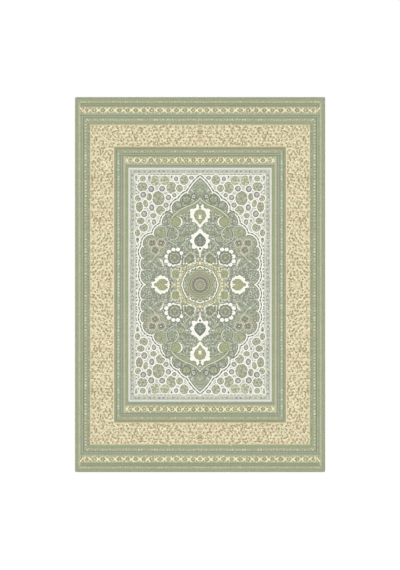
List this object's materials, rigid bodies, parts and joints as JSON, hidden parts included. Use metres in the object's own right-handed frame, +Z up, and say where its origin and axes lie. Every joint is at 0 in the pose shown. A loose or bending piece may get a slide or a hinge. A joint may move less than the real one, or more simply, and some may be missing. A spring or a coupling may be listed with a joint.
{
  "type": "woven rug",
  "caption": "Flat rectangular woven wool rug with a banded border and a central medallion, lying face up on its flat underside.",
  "frame": {"origin": "middle of the flat underside, at floor level", "axes": "+Y along the length, +X along the width, +Z up out of the pile"},
  "size_m": [2, 3, 0.009],
  "materials": {
    "pile": "cut wool pile, sage, beige and ivory, matt",
    "edging": "overcast wool yarn, sage, matt",
    "backing": "plain woven cotton and jute ground, natural"
  },
  "bodies": {
    "root": {"rug": "pile"}
  },
  "joints": []
}
